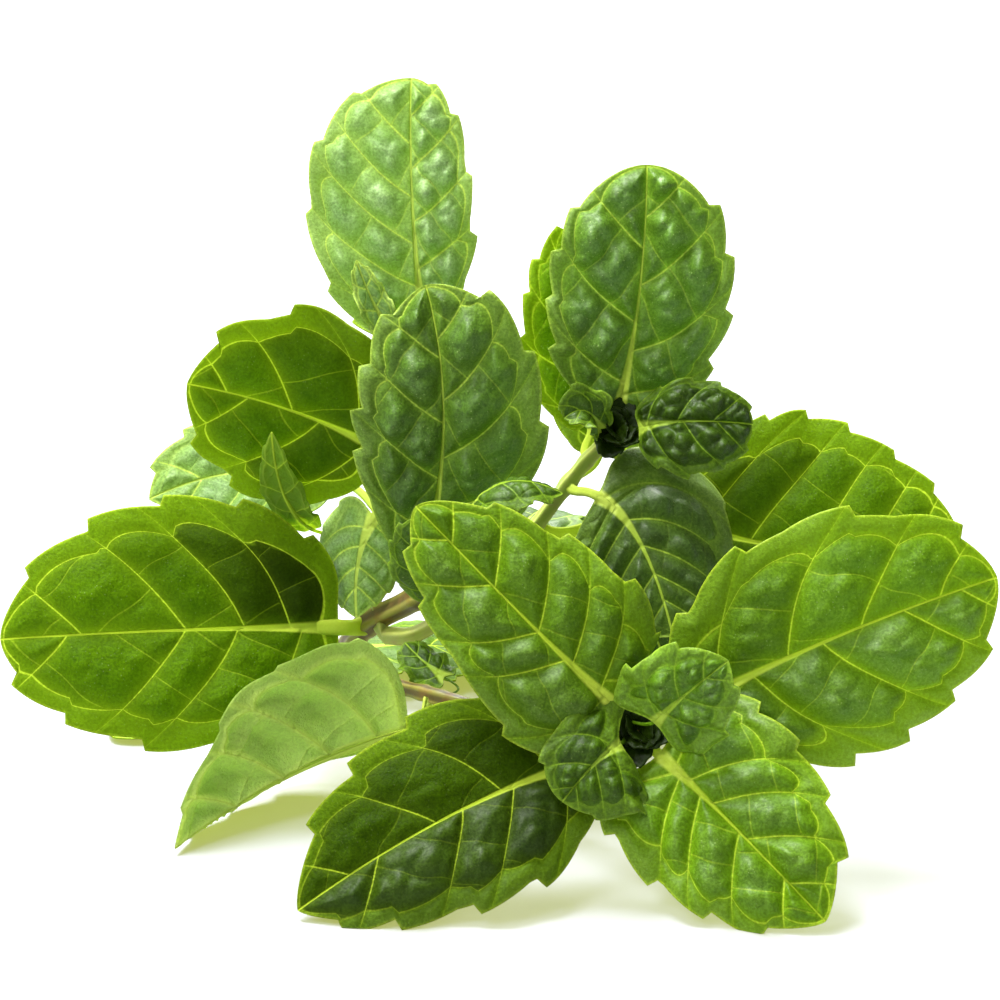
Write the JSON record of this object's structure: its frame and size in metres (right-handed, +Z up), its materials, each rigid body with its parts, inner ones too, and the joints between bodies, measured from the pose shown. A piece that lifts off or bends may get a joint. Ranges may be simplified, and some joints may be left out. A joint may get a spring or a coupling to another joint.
{
  "type": "mint sprig",
  "caption": "Cut mint sprig that lies on a table, with square branching stems, crossed pairs of toothed quilted leaves and folded shoot tips.",
  "frame": {"origin": "on the table, under the centre of the sprig's bounding box", "axes": "+X along the sprig's longest extent, to the right as seen from the front; +Y to the back; +Z up from the table"},
  "size_m": [0.1427, 0.0974, 0.098],
  "materials": {
    "blade": "fresh green leaf, quilted, with a satin upper side and sunken pale veins",
    "pale_blade": "paler grey-green leaf or leaf underside, matte, with raised veins",
    "dark_blade": "dark blue-green leaf, satin",
    "young_blade": "young crinkled leaf, glossy on its swellings",
    "woody_stem": "older square stem, olive brown, grooved and finely hairy",
    "green_stem": "young square stem, yellow green, finely hairy"
  },
  "bodies": {
    "root": {"main_stem": "woody_stem", "front_shoot_stem": "woody_stem", "right_shoot_stem": "green_stem", "back_shoot_stem": "green_stem", "front_leaf_upper_left": "blade", "front_leaf_right": "blade", "front_leaf_lower_right": "blade", "front_leaf_lower_left": "blade", "front_young_leaf_right": "young_blade", "front_young_leaf_left": "young_blade", "right_leaf_tall": "blade", "right_leaf_behind": "blade", "right_leaf_back": "blade", "right_young_leaf_right": "young_blade", "right_young_leaf_left": "young_blade", "right_leaf_drooping": "dark_blade", "right_leaf_far_right": "blade", "right_leaf_shaded": "dark_blade", "right_leaf_low_back": "dark_blade", "middle_leaf_upright": "dark_blade", "middle_leaf_left": "blade", "middle_leaf_hanging": "pale_blade", "middle_young_leaf_right": "young_blade", "middle_young_leaf_left": "young_blade", "back_leaf_tall": "pale_blade", "back_leaf_rear": "blade", "back_leaf_small": "young_blade", "back_leaf_left": "blade", "back_leaf_low": "blade", "back_leaf_folded": "pale_blade", "left_leaf_large": "blade", "left_leaf_hanging": "pale_blade", "left_leaf_inner": "dark_blade", "table_leaf_left": "blade", "table_leaf_back": "blade", "front_bud": "young_blade", "right_bud": "young_blade", "middle_bud": "young_blade", "back_bud": "young_blade"}
  },
  "joints": []
}
